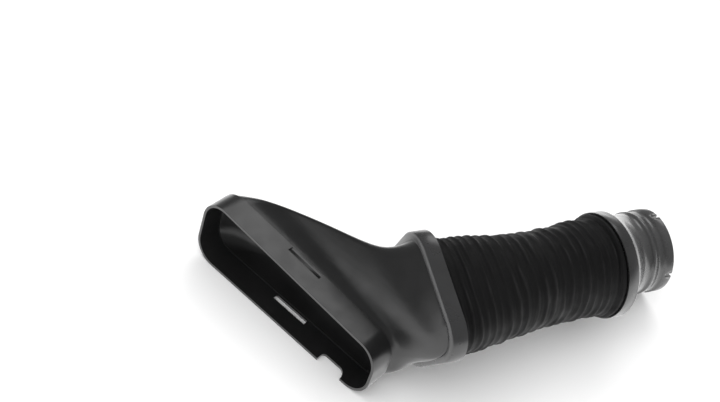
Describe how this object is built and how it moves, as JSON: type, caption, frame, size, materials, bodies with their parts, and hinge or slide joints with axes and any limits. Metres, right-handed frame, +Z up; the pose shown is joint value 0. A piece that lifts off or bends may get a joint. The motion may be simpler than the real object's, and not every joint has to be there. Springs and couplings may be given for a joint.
{
  "type": "air intake hose",
  "caption": "Engine air intake hose: wide flat scoop with a slanted mouth, flexible textile bellows between two collars, and an oblique round outlet spigot with a slotted rim",
  "frame": {"origin": "middle of the underside of the whole box, on the floor that the hose lies on", "axes": "+X along the hose from the scoop's mouth to the outlet, +Y to the far end of the mouth, +Z up as it lies"},
  "size_m": [0.3896, 0.212, 0.1194],
  "materials": {
    "scoop_plastic": "satin black moulding, smooth outside, soft sheen",
    "collar_plastic": "satin dark grey moulding with rounded edges",
    "bellows_textile": "black coated textile, finely ribbed and wrinkled, dull",
    "spigot_plastic": "smooth dark grey moulding with a clear sheen"
  },
  "bodies": {
    "root": {"intake_scoop": "scoop_plastic", "scoop_collar": "collar_plastic", "bellows_hose": "bellows_textile", "outlet_collar": "collar_plastic", "outlet_spigot": "spigot_plastic"}
  },
  "joints": []
}
